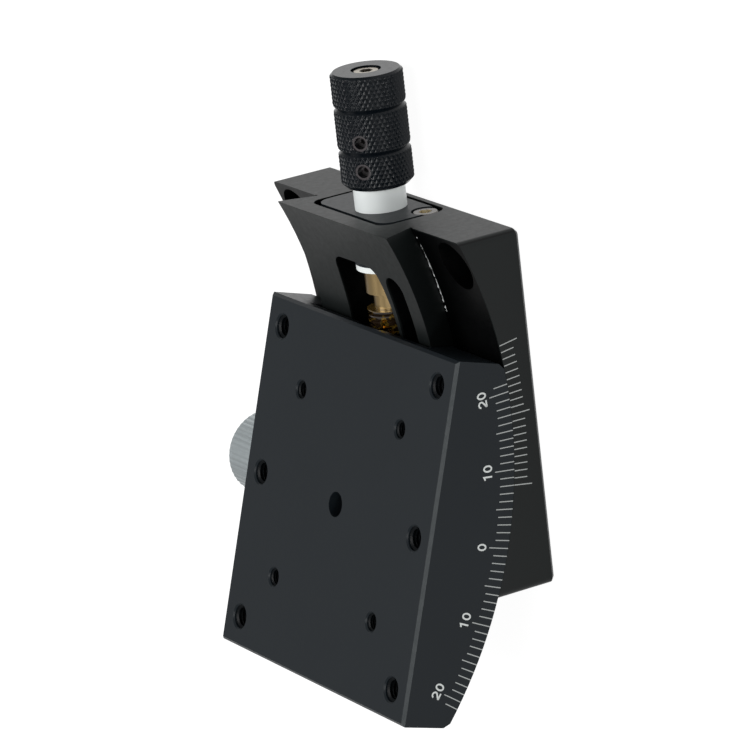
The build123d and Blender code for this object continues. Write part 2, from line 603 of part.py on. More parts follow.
def gear_sector():
    """Brass worm-wheel sector with a screw flange on its far side."""
    half = SECTOR_WIDTH / 2
    section = [(-half, SECTOR_BACK), (FLANGE_OUTER, SECTOR_BACK), (FLANGE_OUTER, CEILING_RADIUS)]
    section += [(half, CEILING_RADIUS), (half, SECTOR_ROOT_RADIUS), (-half, SECTOR_ROOT_RADIUS)]
    body = tilt_ring(section, -SECTOR_HALF_ANGLE, SECTOR_HALF_ANGLE)
    count = int((SECTOR_HALF_ANGLE - TOOTH_ANGLE / 2) / TOOTH_ANGLE)
    tooth = sector_tooth()
    teeth = [tooth.rotate(TILT_AXIS, k * TOOTH_ANGLE) for k in range(-count, count + 1)]
    body = body.fuse(*teeth)
    for angle in SECTOR_SCREW_ANGLES:
        body -= sector_screw_tool(angle)
    return at_rest(body)


def sector_screws():
    """Countersunk screws through the sector's flange."""
    return [at_rest(sector_screw_tool(angle)) for angle in SECTOR_SCREW_ANGLES]


# Worm body

def worm_thread():
    """Right-hand thread whose centre line, on top, lies in a gap of the sector."""
    teeth_past = REST_TILT / TOOTH_ANGLE
    phase = (0.5 - teeth_past) % 1.0
    start = (int(WORM_BACK / TOOTH_PITCH) - 1 + phase) * TOOTH_PITCH
    turns = int((WORM_FRONT - start) / TOOTH_PITCH) + 2
    half_pitch = TOOTH_PITCH / 4 - FLANK_CLEARANCE
    lean = tan(radians(PRESSURE_ANGLE))
    crest = half_pitch - ADDENDUM * MODULE * lean
    root_depth = DEDENDUM * MODULE + ROOT_SINK
    root = half_pitch + root_depth * lean
    plane = Plane(origin=(start, 0, WORM_HEIGHT), x_dir=(0, 0, 1), z_dir=(1, 0, 0))
    path = plane.location * Helix(TOOTH_PITCH, turns * TOOTH_PITCH, WORM_PITCH_RADIUS)
    tip_z = WORM_HEIGHT + WORM_TIP_RADIUS
    root_z = WORM_HEIGHT + WORM_PITCH_RADIUS - root_depth
    points = [(start - root, 0, root_z), (start - crest, 0, tip_z)]
    points += [(start + crest, 0, tip_z), (start + root, 0, root_z)]
    section = Face(Wire.make_polygon(points, close=True))
    return sweep(section, path=path, is_frenet=True)


def worm():
    """Brass worm with its hub and thrust shoulder, bored for the shaft."""
    thread = worm_thread() & x_rod(WORM_TIP_RADIUS + OVERCUT, WORM_BACK, WORM_FRONT)
    profile = [(WORM_BACK, 0), (WORM_BACK, WORM_ROOT_RADIUS), (WORM_FRONT, WORM_ROOT_RADIUS)]
    profile += [(WORM_FRONT, HUB_RADIUS), (SHOULDER_BACK, HUB_RADIUS), (SHOULDER_BACK, SHOULDER_RADIUS)]
    profile += [(SHOULDER_FRONT, SHOULDER_RADIUS), (SHOULDER_FRONT, 0)]
    body = turned(profile) + thread
    body -= x_rod(SHAFT_RADIUS, WORM_BACK, SHOULDER_FRONT)
    return body - worm_pin()


def worm_pin():
    """Cross pin that fixes the worm to its shaft."""
    station = (SHOULDER_BACK + SHOULDER_FRONT) / 2
    reach = sqrt(SHOULDER_RADIUS ** 2 - WORM_PIN_RADIUS ** 2) - WORM_PIN_INSET
    return y_rod(WORM_PIN_RADIUS, -reach, reach, station, WORM_HEIGHT)


def worm_shaft():
    """Steel shaft from the rear bushing to the knob."""
    start, end = clip_span()
    profile = [(SHAFT_BACK, 0), (SHAFT_BACK, JOURNAL_RADIUS), (start, JOURNAL_RADIUS)]
    profile += [(start, CLIP_GROOVE_RADIUS), (end, CLIP_GROOVE_RADIUS), (end, JOURNAL_RADIUS)]
    profile += [(JOURNAL_START, JOURNAL_RADIUS), (JOURNAL_START, SHAFT_RADIUS)]
    profile += [(SHAFT_FRONT, SHAFT_RADIUS), (SHAFT_FRONT, 0)]
    body = turned(profile)
    end = (SHAFT_FRONT, 0, WORM_HEIGHT)
    body -= hex_socket(end, (0, 1, 0), (-1, 0, 0), SHAFT_SOCKET_AF, SHAFT_SOCKET_DEPTH)
    return body - worm_pin()


def clip_span():
    """Stations of the retaining ring's two faces."""
    front = REAR_LUG_BACK - END_PLAY
    return front - CLIP_THICKNESS, front


def retaining_ring():
    """Open clip in the shaft's rear groove."""
    start, end = clip_span()
    ring = x_rod(CLIP_RADIUS, start, end) - x_rod(CLIP_GROOVE_RADIUS, start, end)
    return ring - block(start, end, 0, WORM_HEIGHT, CLIP_MOUTH)


def knob_way():
    """Direction of the knob's set screws, outwards."""
    angle = radians(KNOB_GRUB_ANGLE)
    return Vector(0, cos(angle), sin(angle))


def knob_radial(radius, inner, outer, station):
    """Round bar across the knob, along its set screws' direction."""
    origin = Vector(station, 0, WORM_HEIGHT) + knob_way() * inner
    plane = Plane(origin=origin, x_dir=(1, 0, 0), z_dir=knob_way())
    return extrude(plane * Circle(radius), outer - inner)


def knob():
    """Drive knob turned in one piece, with two V grooves around its grip."""
    profile = [(KNOB_BOTTOM, 0), (KNOB_BOTTOM, KNOB_RADIUS - KNOB_BOTTOM_CHAMFER)]
    profile += [(KNOB_BOTTOM + KNOB_BOTTOM_CHAMFER, KNOB_RADIUS)]
    half = KNOB_GROOVE_WIDTH / 2
    for station in KNOB_GROOVES:
        profile += [(station - half, KNOB_RADIUS), (station, KNOB_RADIUS - KNOB_GROOVE_DEPTH)]
        profile += [(station + half, KNOB_RADIUS)]
    profile += [(KNOB_TOP - KNOB_TOP_CHAMFER, KNOB_RADIUS), (KNOB_TOP, KNOB_RADIUS - KNOB_TOP_CHAMFER)]
    profile += [(KNOB_TOP, 0)]
    body = turned(profile)
    body -= x_rod(SHAFT_RADIUS, KNOB_BOTTOM, KNOB_TOP)
    body -= x_rod(KNOB_TOP_BORE_RADIUS, KNOB_TOP - KNOB_TOP_BORE_DEPTH, KNOB_TOP)
    outer = KNOB_RADIUS + OVERCUT
    for station in KNOB_GRUB_STATIONS:
        body -= knob_radial(KNOB_GRUB_RADIUS, SHAFT_RADIUS / 2, outer, station)
        body -= knob_radial(KNOB_SPOT_RADIUS, KNOB_RADIUS - KNOB_SPOT_DEPTH, outer, station)
    return body


def knob_grub_screws():
    """Set screws that clamp the knob to the shaft."""
    screws = []
    end = SHAFT_RADIUS + KNOB_GRUB_LENGTH
    for station in KNOB_GRUB_STATIONS:
        screw = knob_radial(KNOB_GRUB_RADIUS, SHAFT_RADIUS / 2, end, station)
        mouth = Vector(station, 0, WORM_HEIGHT) + knob_way() * end
        screw -= hex_socket(mouth, (1, 0, 0), -knob_way(), KNOB_GRUB_SOCKET_AF, KNOB_GRUB_SOCKET_DEPTH)
        screws.append(screw - x_rod(SHAFT_RADIUS, KNOB_BOTTOM, KNOB_TOP))
    return screws


# Lock

def lock_pad_end():
    """Y of the pad's outer end, where the stud bears on it."""
    return flank(LOCK_ARC_RADIUS, SLIDE_GAP + GIB_THICKNESS) + LOCK_PAD_LENGTH


def lock_rod(radius, start, end):
    """Round bar along the lock screw's axis."""
    return y_rod(radius, start, end, 0, AXIS_HEIGHT - LOCK_ARC_RADIUS)


def lock_pad():
    """Brass pad, its face cut to the gib's flank."""
    rod = lock_rod(LOCK_STUD_RADIUS, RAIL_ROOT_WIDTH / 2, lock_pad_end())
    return at_rest(rod - behind_gib(LOCK_GAP))


def lock_stud():
    """Threaded stud from the pad into the lock knob."""
    end = HALF_Y + LOCK_HEAD_START + LOCK_STUD_GRIP
    return at_rest(lock_rod(LOCK_STUD_RADIUS, lock_pad_end(), end))


def lock_knob():
    """Ribbed clamp knob with a plain neck."""
    base = HALF_Y + LOCK_HEAD_START
    neck = lock_rod(LOCK_NECK_RADIUS, HALF_Y + LOCK_NECK_START, base)
    head = lock_rod(LOCK_HEAD_RADIUS, base, base + LOCK_HEAD_LENGTH)
    ends = head.faces().sort_by(Axis.Y)
    head = chamfer(ends[0].edges() + ends[-1].edges(), LOCK_HEAD_CHAMFER)
    bore = lock_rod(LOCK_STUD_RADIUS, HALF_Y, base + LOCK_STUD_GRIP)
    return at_rest(neck + head - bore)


PIECES = {
    "base_block": base_block,
    "worm_carrier": worm_carrier,
    "carrier_screws": carrier_screws,
    "front_bushing": front_bushing,
    "rear_bushing": rear_bushing,
    "thrust_washer": thrust_washer,
    "stop_pin": stop_pin,
    "stage_block": stage_block,
    "gear_sector": gear_sector,
    "sector_screws": sector_screws,
    "gib": gib,
    "gib_screws": gib_screws,
    "worm": worm,
    "worm_shaft": worm_shaft,
    "worm_pin": worm_pin,
    "retaining_ring": retaining_ring,
    "knob": knob,
    "knob_grub_screws": knob_grub_screws,
    "lock_knob": lock_knob,
    "lock_stud": lock_stud,
    "lock_pad": lock_pad,
}

os.makedirs("parts", exist_ok=True)
for name, make in PIECES.items():
    piece = make()
    if isinstance(piece, list):
        piece = Compound(children=piece)
    export_step(piece, f"parts/{name}.step")
    print(name, round(piece.volume, 2))
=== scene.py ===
import math
import random
import bmesh
import bpy
from mathutils import Matrix, Vector


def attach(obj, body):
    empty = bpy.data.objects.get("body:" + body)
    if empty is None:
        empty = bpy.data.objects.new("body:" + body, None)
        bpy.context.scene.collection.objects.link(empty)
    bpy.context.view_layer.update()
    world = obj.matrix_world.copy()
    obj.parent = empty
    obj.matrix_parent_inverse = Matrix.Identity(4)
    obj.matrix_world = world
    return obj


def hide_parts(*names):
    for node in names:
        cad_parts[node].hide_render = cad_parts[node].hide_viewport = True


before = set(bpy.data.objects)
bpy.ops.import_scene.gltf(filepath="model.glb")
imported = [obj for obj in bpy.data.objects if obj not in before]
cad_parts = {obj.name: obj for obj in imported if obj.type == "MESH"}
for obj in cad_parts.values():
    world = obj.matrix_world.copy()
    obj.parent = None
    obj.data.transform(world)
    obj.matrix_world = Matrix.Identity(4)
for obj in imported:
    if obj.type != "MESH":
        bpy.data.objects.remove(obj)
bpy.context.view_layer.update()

# The object's own frame, in metres: origin at the centre of the base's bottom
# face, +X along the worm shaft, +Y towards the clamp knob, +Z up.
MM = 0.001
X_WAY = Vector((1, 0, 0))
Y_WAY = Vector((0, 1, 0))
Z_WAY = Vector((0, 0, 1))
AXIS_HEIGHT = 80 * MM         # tilt axis above the floor
REST_TILT = 17                # scale reading at rest, degrees
SIDE_Y = -30 * MM             # scale faces of stage and base
ARC_RADIUS = 75 * MM          # sliding arc of stage and base
RAIL_TOP_RADIUS = 69.5 * MM
RAIL_ROOT_HALF = 15 * MM      # half the rail's width at its root
HALF_SIDE = 30 * MM           # half the base's side
WORM_HEIGHT = 7.75 * MM


# Materials

def shader(name):
    """A new material with its node tree and Principled shader."""
    material = bpy.data.materials.new(name)
    material.use_nodes = True
    tree = material.node_tree
    return material, tree, tree.nodes["Principled BSDF"]


def noise(tree, scale, detail, roughness):
    """Noise in the object's own coordinates, in cells per metre."""
    place = tree.nodes.new("ShaderNodeTexCoord")
    texture = tree.nodes.new("ShaderNodeTexNoise")
    texture.inputs["Scale"].default_value = scale
    texture.inputs["Detail"].default_value = detail
    texture.inputs["Roughness"].default_value = roughness
    tree.links.new(place.outputs["Object"], texture.inputs["Vector"])
    return texture.outputs["Fac"]


def position(tree):
    """X, Y and Z of a point in the object's own coordinates."""
    place = tree.nodes.new("ShaderNodeTexCoord")
    parts = tree.nodes.new("ShaderNodeSeparateXYZ")
    tree.links.new(place.outputs["Object"], parts.inputs["Vector"])
    return parts.outputs


def spread(tree, value, low, high, start=0.0, end=1.0):
    """Map the range from start to end onto low to high, and hold it outside."""
    node = tree.nodes.new("ShaderNodeMapRange")
    node.inputs["From Min"].default_value = start
    node.inputs["From Max"].default_value = end
    node.inputs["To Min"].default_value = low
    node.inputs["To Max"].default_value = high
    tree.links.new(value, node.inputs["Value"])
    return node.outputs["Result"]


def calculate(tree, operation, *values):
    """A math node on sockets or plain numbers."""
    node = tree.nodes.new("ShaderNodeMath")
    node.operation = operation
    for socket, value in zip(node.inputs, values):
        if isinstance(value, (int, float)):
            socket.default_value = value
        else:
            tree.links.new(value, socket)
    return node.outputs["Value"]


def mix(tree, factor, first, second, mode="MIX"):
    """Mix two colours, each a socket or a plain colour, by a 0-1 value."""
    node = tree.nodes.new("ShaderNodeMix")
    node.data_type = "RGBA"
    node.blend_type = mode
    for name, value in (("Factor", factor), ("A", first), ("B", second)):
        if isinstance(value, tuple):
            node.inputs[name].default_value = (*value, 1)
        elif isinstance(value, float):
            node.inputs[name].default_value = value
        else:
            tree.links.new(value, node.inputs[name])
    return node.outputs["Result"]


def bump(tree, value, distance):
    """Surface relief of a height in metres."""
    node = tree.nodes.new("ShaderNodeBump")
    node.inputs["Strength"].default_value = 1.0
    node.inputs["Distance"].default_value = distance
    tree.links.new(value, node.inputs["Height"])
    return node.outputs["Normal"]


BROAD_SHARE = 0.06            # scale of the colour's patches against the grain
NOISE_LOW = 0.3               # noise lies between these almost everywhere
NOISE_HIGH = 0.7


def surface(name, dark, light, rough, metallic=0.0, grain=900, relief=2e-6, coat=0.0, specular=0.5):
    """A surface with slightly uneven colour, gloss and relief."""
    material, tree, principled = shader(name)
    principled.inputs["Metallic"].default_value = metallic
    principled.inputs["Specular IOR Level"].default_value = specular
    principled.inputs["Coat Weight"].default_value = coat
    broad = noise(tree, grain * BROAD_SHARE, 3.0, 0.5)
    fine = noise(tree, grain, 5.0, 0.65)
    tree.links.new(mix(tree, broad, dark, light), principled.inputs["Base Color"])
    tree.links.new(spread(tree, fine, *rough, NOISE_LOW, NOISE_HIGH), principled.inputs["Roughness"])
    tree.links.new(bump(tree, fine, relief), principled.inputs["Normal"])
    return material


ANODISED_RELIEF = 1.2e-6
BLACK = surface("black_anodised", (0.005, 0.0074, 0.0096), (0.0064, 0.009, 0.0114), (0.34, 0.42),
                relief=ANODISED_RELIEF, specular=0.16)
# A darker black for the threads inside the tapped holes: painted shade
THREAD_SHADE_BLACK = surface("thread_painted_shade", (0.0014, 0.002, 0.0026), (0.002, 0.0028, 0.0036), (0.3, 0.4),
                       relief=ANODISED_RELIEF, specular=0.08)
# A lighter black for the platform's bevels: painted highlight
BLACK_BEVEL_HIGHLIGHT = surface("black_bevel_painted_highlight", (0.016, 0.0205, 0.0225), (0.019, 0.0235, 0.0255), (0.3, 0.4),
                     relief=ANODISED_RELIEF, specular=0.16)
BLACK_KNURL = surface("black_knurl", (0.0016, 0.0028, 0.0042), (0.0028, 0.0044, 0.0062), (0.16, 0.26),
                      relief=ANODISED_RELIEF, specular=0.15)
BLACK_STEEL = surface("black_steel", (0.012, 0.0105, 0.011), (0.02, 0.017, 0.018), (0.25, 0.35), relief=ANODISED_RELIEF)
# A lighter grey for the set screws' spot faces: painted highlight
SPOT_FACE_HIGHLIGHT = surface("spot_face_painted_highlight", (0.03, 0.026, 0.028), (0.048, 0.042, 0.044), (0.25, 0.35), 0.3,
                   relief=ANODISED_RELIEF)
DARK_STEEL = surface("dark_steel", (0.07, 0.062, 0.056), (0.11, 0.098, 0.09), (0.2, 0.3), 1.0, 1200)
# Paler steel for the screws' sockets: a painted highlight
SOCKET_HIGHLIGHT_STEEL = surface("socket_painted_highlight", (0.66, 0.6, 0.46), (0.8, 0.74, 0.58), (0.3, 0.4), 1.0, 1200)
SHAFT_STEEL = surface("shaft_steel", (0.3, 0.265, 0.21), (0.42, 0.385, 0.32), (0.22, 0.34), 1.0, 1200)
BRASS = surface("brass", (0.36, 0.25, 0.11), (0.46, 0.34, 0.17), (0.24, 0.36), 1.0, 1500, 1.5e-6)
BRONZE = surface("bronze", (0.35, 0.2, 0.09), (0.46, 0.28, 0.14), (0.35, 0.5), 1.0)
STEEL = surface("steel", (0.26, 0.25, 0.235), (0.36, 0.35, 0.33), (0.22, 0.34), 1.0, 1200)
GREY_METAL = surface("grey_knurled_metal", (0.3, 0.33, 0.34), (0.36, 0.4, 0.41), (0.34, 0.46), 0.7, 1300)
WHITE_PLASTIC = surface("white_plastic", (0.56, 0.59, 0.585), (0.61, 0.64, 0.635), (0.34, 0.44), 0.0, 600)
PAINT = surface("scale_paint", (0.4, 0.42, 0.41), (0.48, 0.5, 0.49), (0.5, 0.65), 0.0, 2500, 3e-6)
MARK_PAINT = surface("mark_paint", (0.23, 0.242, 0.236), (0.28, 0.292, 0.286), (0.5, 0.65), 0.0, 2500, 3e-6)

THREAD_END = 13.3 * MM        # the worm's thread ends here, its plain hub begins
THREAD_FADE = 0.3 * MM


def greasy_brass():
    """Brass of the worm, under dark grease along the thread."""
    material, tree, principled = shader("greasy_brass")
    on_thread = spread(tree, position(tree)["X"], 1.0, 0.0, THREAD_END - THREAD_FADE, THREAD_END + THREAD_FADE)
    patches = spread(tree, noise(tree, 420, 3.0, 0.6), 0.0, 1.0, 0.4, 0.46)
    cover = calculate(tree, "MULTIPLY", on_thread, patches)
    metal = mix(tree, noise(tree, 120, 3.0, 0.5), (0.27, 0.19, 0.088), (0.34, 0.25, 0.125))
    gold = mix(tree, on_thread, (1, 1, 1), (1.25, 1.05, 0.25))
    warm = mix(tree, 1.0, metal, gold, "MULTIPLY")
    tree.links.new(mix(tree, cover, warm, (0.014, 0.008, 0.004)), principled.inputs["Base Color"])
    tree.links.new(spread(tree, cover, 1.0, 0.1), principled.inputs["Metallic"])
    tree.links.new(spread(tree, on_thread, 0.3, 0.12), principled.inputs["Roughness"])
    tree.links.new(bump(tree, noise(tree, 1500, 3.0, 0.5), 2e-5), principled.inputs["Coat Normal"])
    tree.links.new(spread(tree, on_thread, 0.0, 0.8), principled.inputs["Coat Weight"])
    return material


SHADE_FADE = 0.1 * MM          # the painted shade's edge
SHADE_MARGIN = 0.2 * MM        # it keeps this far from the base's outer faces
RAIL_MARGIN = 0.3 * MM        # and starts this far outside the rail's top
SLIDE_MARGIN = 0.2 * MM       # or this far inside the sliding arc


def oiled_black():
    """The base's black, darker below the sliding faces: painted shade on the shelves beside the rail."""
    material = surface("base_painted_shade", (0.0046, 0.0058, 0.0058), (0.0058, 0.0072, 0.0072), (0.34, 0.42),
                       relief=ANODISED_RELIEF, specular=0.15)
    tree = material.node_tree
    colour = tree.nodes["Principled BSDF"].inputs["Base Color"]
    place = position(tree)
    across = calculate(tree, "ABSOLUTE", place["Y"])
    along = calculate(tree, "ABSOLUTE", place["X"])
    drop = calculate(tree, "SUBTRACT", place["Z"], AXIS_HEIGHT)
    squares = [calculate(tree, "MULTIPLY", value, value) for value in (drop, along)]
    radius = calculate(tree, "SQRT", calculate(tree, "ADD", *squares))
    # Below this radius from the tilt axis there is no painted shade, on the rail and beside it
    top = spread(tree, across, RAIL_TOP_RADIUS + RAIL_MARGIN, ARC_RADIUS - SLIDE_MARGIN,
                 RAIL_ROOT_HALF - SLIDE_MARGIN, RAIL_ROOT_HALF)
    shade_share = spread(tree, calculate(tree, "SUBTRACT", radius, top), 0.0, 1.0, 0.0, SHADE_FADE)
    for value in (across, along):
        inside = spread(tree, value, 1.0, 0.0, HALF_SIDE - SHADE_MARGIN - SHADE_FADE, HALF_SIDE - SHADE_MARGIN)
        shade_share = calculate(tree, "MULTIPLY", shade_share, inside)
    unshaded_colour = colour.links[0].from_socket
    # Painted shade: the shelves beside the rail turn near-black
    tree.links.new(mix(tree, shade_share, unshaded_colour, (0.0003, 0.0004, 0.0005)), colour)
    return material


GREASY_BRASS = greasy_brass()
BASE_PAINTED_SHADE = oiled_black()
GREASE = surface("grease", (0.5, 0.52, 0.52), (0.8, 0.82, 0.82), (0.05, 0.15), 0.0, 3000, 1e-6, coat=1.0)

LOOKS = {
    BASE_PAINTED_SHADE: ("base_block",),
    BLACK: ("worm_carrier", "stage_block"),
    BRASS: ("gear_sector", "gib", "lock_pad"),
    GREASY_BRASS: ("worm",),
    BRONZE: ("rear_bushing",),
    STEEL: ("stop_pin", "sector_screws", "gib_screws", "worm_pin", "retaining_ring", "lock_stud"),
    DARK_STEEL: ("carrier_screws",),
    SHAFT_STEEL: ("worm_shaft",),
    BLACK_STEEL: ("knob_grub_screws",),
    WHITE_PLASTIC: ("front_bushing", "thrust_washer"),
}


def dress(piece, material):
    """Give a piece one material all over."""
    piece.data.materials.clear()
    piece.data.materials.append(material)


for look, nodes in LOOKS.items():
    for node in nodes:
        dress(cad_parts[node], look)


def dress_faces(piece, material, chosen):
    """Give another material to the faces that a test picks."""
    piece.data.materials.append(material)
    for polygon in piece.data.polygons:
        if chosen(polygon):
            polygon.material_index = 1


# The sockets of the carrier's screws get a paler steel than their heads, a painted highlight
SCREW_SIDES = (-8.2 * MM, 10.2 * MM)
SCREW_HEIGHT = 4.3 * MM
SOCKET_RADIUS = 1.25 * MM
SOCKET_FLOOR = 28.6 * MM
SOCKET_MOUTH = 29.84 * MM
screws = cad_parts["carrier_screws"]


def in_socket(polygon):
    """Whether a face of the screws is part of a socket."""
    middle = screws.matrix_world @ polygon.center
    reach = min(math.hypot(middle.y - side, middle.z - SCREW_HEIGHT) for side in SCREW_SIDES)
    return SOCKET_FLOOR < middle.x < SOCKET_MOUTH and reach < SOCKET_RADIUS


dress_faces(screws, SOCKET_HIGHLIGHT_STEEL, in_socket)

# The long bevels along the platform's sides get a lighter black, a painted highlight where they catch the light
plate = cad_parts["stage_block"]
plate_up = max(plate.data.polygons, key=lambda polygon: polygon.area).normal.copy()
BEVEL_SHARE = math.sqrt(0.5)
BEVEL_SLACK = 0.05
BEVEL_AREA = 2 * MM * MM      # smaller slanted faces are the holes' chamfers


def is_bevel(polygon):
    """Whether a face of the stage is one of the long bevels."""
    normal = polygon.normal
    slants = (normal.dot(plate_up), abs(normal.y))
    return polygon.area > BEVEL_AREA and all(abs(slant - BEVEL_SHARE) < BEVEL_SLACK for slant in slants)


dress_faces(plate, BLACK_BEVEL_HIGHLIGHT, is_bevel)


# Pieces

def add(name, mesh, material, body):
    """Put a mesh in the scene as a piece that rides on a body."""
    piece = bpy.data.objects.new(name, mesh)
    bpy.context.scene.collection.objects.link(piece)
    dress(piece, material)
    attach(piece, body)
    return piece


def mesh_of(name, points, faces):
    """A flat-shaded mesh from points and faces, its normals made to point outwards."""
    mesh = bpy.data.meshes.new(name)
    mesh.from_pydata([tuple(p) for p in points], [], faces)
    work = bmesh.new()
    work.from_mesh(mesh)
    bmesh.ops.recalc_face_normals(work, faces=work.faces)
    work.to_mesh(mesh)
    work.free()
    for polygon in mesh.polygons:
        polygon.use_smooth = False
    return mesh


# Scales. Angles count from straight below the tilt axis, towards +X.

MARK_WIDTH = 0.17 * MM
MARK_PROUD = 0.02 * MM        # paint above the face
MARK_SUNK = 0.03 * MM
ARC_GAP = 0.05 * MM           # marks stop short of the sliding arc


def on_side(radius, angle, along=0.0):
    """X and Z of a point by its radius from the tilt axis and its angle."""
    turn = math.radians(angle)
    x = radius * math.sin(turn) + along * math.cos(turn)
    z = AXIS_HEIGHT - radius * math.cos(turn) + along * math.sin(turn)
    return x, z


def marks(name, rows, body):
    """Radial lines on the scale face: rows of (angle, start radius, end radius)."""
    points = []
    faces = []
    for angle, start, end in rows:
        first = len(points)
        for y in (SIDE_Y - MARK_PROUD, SIDE_Y + MARK_SUNK):
            for radius, along in ((start, -1), (start, 1), (end, 1), (end, -1)):
                x, z = on_side(radius, angle, along * MARK_WIDTH / 2)
                points.append((x, y, z))
        faces.append([first + k for k in (0, 1, 2, 3)])
        faces.append([first + k for k in (7, 6, 5, 4)])
        for k in range(4):
            after = (k + 1) % 4
            faces.append([first + k, first + 4 + k, first + 4 + after, first + after])
    add(name, mesh_of(name, points, faces), MARK_PAINT, body)


TENS_LENGTH = 3.6 * MM
FIVES_LENGTH = 3.1 * MM
ONES_LENGTH = 2.6 * MM


def degree_length(degree):
    """Length of a main scale mark."""
    if degree % 10 == 0:
        return TENS_LENGTH
    if degree % 5 == 0:
        return FIVES_LENGTH
    return ONES_LENGTH


DEGREES = range(-21, 22)
OUTER = ARC_RADIUS - ARC_GAP
marks("degree_marks", [(d - REST_TILT, OUTER - degree_length(d), OUTER) for d in DEGREES], "stage")

VERNIER_STEP = 0.9            # degrees
VERNIER_REACH = 10            # marks each side of its zero
VERNIER_START = ARC_RADIUS + ARC_GAP
VERNIER_LONG = 3.36 * MM
VERNIER_SHORT = 2.4 * MM
vernier = []
for k in range(-VERNIER_REACH, VERNIER_REACH + 1):
    length = VERNIER_LONG if k % VERNIER_REACH == 0 else VERNIER_SHORT
    vernier.append((k * VERNIER_STEP, VERNIER_START, VERNIER_START + length))
marks("vernier_marks", vernier, "base")

DIGIT_RADIUS = 69.95 * MM     # radius of the numerals' middles
DIGIT_PITCH = 1.46 * MM
DIGIT_STROKE = 0.28 * MM
DIGIT_FRONT = SIDE_Y - MARK_PROUD
DIGIT_BACK = SIDE_Y + MARK_SUNK
MITRE_LIMIT = 0.4             # keeps a sharp corner's mitre short


def bow(x, y, wide, high, start, end, steps):
    """Points along part of an ellipse, angles in degrees."""
    points = []
    for k in range(steps + 1):
        turn = math.radians(start + (end - start) * k / steps)
        points.append((x + wide * math.cos(turn), y + high * math.sin(turn)))
    return points


# Middle lines of the numerals' strokes, in millimetres from the middle
STROKES = {
    "0": bow(0, 0, 0.46, 0.7, 90, 450, 36),
    "1": [(-0.4, 0.42), (0.1, 0.7), (0.1, -0.84)],
    "2": bow(0, 0.25, 0.46, 0.45, 168, -36, 14) + [(-0.4, -0.6), (-0.36, -0.7), (0.6, -0.7)],
}


def edges_of(path):
    """Left and right edges of a stroke along a path, with mitred corners."""
    closed = math.dist(path[0], path[-1]) < 1e-6
    half = DIGIT_STROKE / MM / 2
    left = []
    right = []
    for k, point in enumerate(path):
        before = Vector(path[k - 1] if k else path[-2] if closed else path[0])
        after = Vector(path[k + 1] if k + 1 < len(path) else path[1] if closed else path[-1])
        here = Vector(point)
        ways = [way.normalized() for way in (here - before, after - here) if way.length > 1e-6]
        way = sum(ways, Vector((0, 0))).normalized()
        side = Vector((-way.y, way.x)) * half / max(way.dot(ways[0]), MITRE_LIMIT)
        left.append(here + side)
        right.append(here - side)
    return left, right


def numeral(words, degree):
    """A scale numeral, its feet towards the arc, centred on its mark."""
    angle = degree - REST_TILT
    points = []
    faces = []
    for place, digit in enumerate(words):
        shift = (place - (len(words) - 1) / 2) * DIGIT_PITCH
        left, right = edges_of(STROKES[digit])
        start = len(points)
        for a, b in zip(left, right):
            for y, spot in ((DIGIT_FRONT, a), (DIGIT_FRONT, b), (DIGIT_BACK, b), (DIGIT_BACK, a)):
                x, z = on_side(DIGIT_RADIUS - spot.y * MM, angle, shift + spot.x * MM)
                points.append((x, y, z))
        for k in range(len(left) - 1):
            base = start + 4 * k
            for j in range(4):
                after = (j + 1) % 4
                faces.append((base + j, base + after, base + 4 + after, base + 4 + j))
        faces.append((start, start + 1, start + 2, start + 3))
        base = len(points) - 4
        faces.append((base + 3, base + 2, base + 1, base))
    return mesh_of("numeral", points, faces)


for degree in (-20, -10, 0, 10, 20):
    side = "minus" if degree < 0 else "plus"
    name = f"numeral_{side}_{abs(degree)}"
    add(name, numeral(str(abs(degree)), degree), PAINT, "stage")


# Knobs

def lathe(name, rows, columns, radius_at, at, along, across, up):
    """Closed skin of revolution: rows are (station, radius, knurled) and the
    first and last rows meet. radius_at gives the true radius of a knurled row."""
    points = []
    for station, radius, knurled in rows:
        for k in range(columns):
            turn = 2 * math.pi * k / columns
            true = radius_at(station, turn, radius) if knurled else radius
            points.append(at + along * station + (across * math.cos(turn) + up * math.sin(turn)) * true)
    faces = []
    count = len(rows)
    for row in range(count):
        below = row * columns
        above = (row + 1) % count * columns
        for k in range(columns):
            after = (k + 1) % columns
            faces.append([below + k, below + after, above + after, above + k])
    return mesh_of(name, points, faces)


def vee(value):
    """0 at a groove's bottom, 1 on the ridge between two grooves."""
    return abs((value % 1.0) - 0.5) * 2


KNOB_RADIUS = 6.0 * MM
KNOB_BOTTOM = 34.05 * MM
KNOB_TOP = 53.2 * MM
KNOB_BOTTOM_CHAMFER = 0.8 * MM
KNOB_TOP_CHAMFER = 0.5 * MM
KNOB_GROOVES = (40.2 * MM, 47.3 * MM)
KNOB_GROOVE_HALF = 0.55 * MM
KNURL_COUNT = 46
KNURL_LEAD = 1.42 * MM        # axial pitch of the diamonds
KNURL_DEPTH = 0.2 * MM
KNURL_TOP = 1.18              # above 1, the diamonds get flat tops
KNURL_ROW = KNURL_LEAD / 12   # length of the skin's rows
KNURL_COLUMNS = KNURL_COUNT * 6
SHAFT_RADIUS = 2.0 * MM
TOP_BORE_RADIUS = 2.5 * MM
TOP_BORE_DEPTH = 1.6 * MM
GRUB_STATIONS = (37.45 * MM, 42.25 * MM)
GRUB_ANGLE = 127.4            # of the set screws' holes about the shaft
GRUB_RADIUS = 1.0 * MM
GRUB_FLOOR = 1.0 * MM         # the cutters reach from here to outside the knob
GRUB_OUTSIDE = 7.0 * MM
SPOT_RADIUS = 1.35 * MM       # spot faces round the holes
SPOT_DEPTH = 0.3 * MM
SPOT_FACING = 0.99            # least share of a spot face's normal along its hole
SPOT_SLACK = 0.02 * MM
CUTTER_COLUMNS = 32
GRUB_TURN = math.radians(GRUB_ANGLE)
GRUB_WAY = Vector((0, math.cos(GRUB_TURN), math.sin(GRUB_TURN)))
WORM_AXIS = Vector((0, 0, WORM_HEIGHT))


